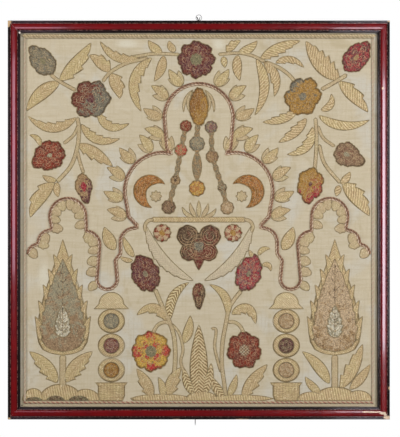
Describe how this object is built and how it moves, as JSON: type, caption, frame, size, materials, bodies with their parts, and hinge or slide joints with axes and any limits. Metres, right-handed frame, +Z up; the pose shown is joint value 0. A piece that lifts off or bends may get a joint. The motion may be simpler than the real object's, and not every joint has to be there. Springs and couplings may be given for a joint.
{
  "type": "embroidered tapestry fragment in a wooden frame",
  "caption": "Flat embroidered cloth with a lobed niche, blossoms and cypresses, stretched in a moulded lacquered frame that hangs by a wire ring.",
  "frame": {"origin": "inside of the hanging ring, at the point of its wire that bears on a wall hook, which is the mount wall_hook", "axes": "+Z up, -Y towards the viewer and the embroidered face, +Y towards the wall, +X to the viewer's right"},
  "size_m": [1.06, 0.0281, 1.1435],
  "materials": {
    "lacquered_wood": "glossy red lacquer with black beads at both edges, worn at the corners",
    "ground_silk": "plain weave, faded and slightly stained",
    "border_cord": "twisted metal thread and silk",
    "niche_cord": "twisted silk cord with metal thread",
    "gold_thread": "couched metal thread, softly shiny",
    "silk_blossom_top": "looped silk",
    "silk_blossom_left": "looped silk",
    "silk_blossom_right": "looped silk",
    "silk_bud_corner_left": "looped silk",
    "silk_bud_corner_right": "looped silk",
    "silk_blossom_side_left": "looped silk",
    "silk_blossom_side_right": "looped silk",
    "silk_bud_low_left": "looped silk",
    "silk_bud_low_right": "looped silk",
    "silk_rosette_bowl_left": "looped silk",
    "silk_rosette_bowl_right": "looped silk",
    "silk_flower_upper_left": "looped silk",
    "silk_flower_upper_right": "looped silk",
    "silk_flower_lower_left": "looped silk",
    "silk_flower_lower_right": "looped silk",
    "silk_palmette": "looped silk",
    "silk_pendant_drop": "looped silk",
    "silk_lamp": "looped silk",
    "silk_cypress": "looped silk",
    "silk_crescent": "looped silk",
    "steel_wire": "dull plated wire"
  },
  "bodies": {
    "root": {"rail_left": "lacquered_wood", "rail_right": "lacquered_wood", "rail_top": "lacquered_wood", "rail_bottom": "lacquered_wood", "ground_cloth": "ground_silk", "border_cord_top": "border_cord", "border_cord_bottom": "border_cord", "border_cord_left": "border_cord", "border_cord_right": "border_cord", "niche_cord": "niche_cord", "blossom_top": "silk_blossom_top", "blossom_left": "silk_blossom_left", "blossom_right": "silk_blossom_right", "bud_corner_left": "silk_bud_corner_left", "bud_corner_right": "silk_bud_corner_right", "blossom_side_left": "silk_blossom_side_left", "blossom_side_right": "silk_blossom_side_right", "bud_low_left": "silk_bud_low_left", "bud_low_right": "silk_bud_low_right", "rosette_bowl_left": "silk_rosette_bowl_left", "rosette_bowl_right": "silk_rosette_bowl_right", "flower_upper_left": "silk_flower_upper_left", "flower_upper_right": "silk_flower_upper_right", "flower_lower_left": "silk_flower_lower_left", "flower_lower_right": "silk_flower_lower_right", "palmette": "silk_palmette", "pendant_drop": "silk_pendant_drop", "lamp": "silk_lamp", "capital_left": "gold_thread", "capital_right": "gold_thread", "urn_left": "gold_thread", "urn_right": "gold_thread", "roundel_left_1": "gold_thread", "roundel_left_2": "gold_thread", "roundel_left_3": "gold_thread", "roundel_right_1": "gold_thread", "roundel_right_2": "gold_thread", "roundel_right_3": "gold_thread", "cypress_left": "silk_cypress", "cypress_right": "silk_cypress", "crescent_left": "silk_crescent", "crescent_right": "silk_crescent", "bowl_swag_left": "gold_thread", "bowl_swag_right": "gold_thread", "bowl_rim": "gold_thread", "hanging_ring": "steel_wire", "tether_ring": "steel_wire"}
  },
  "joints": []
}
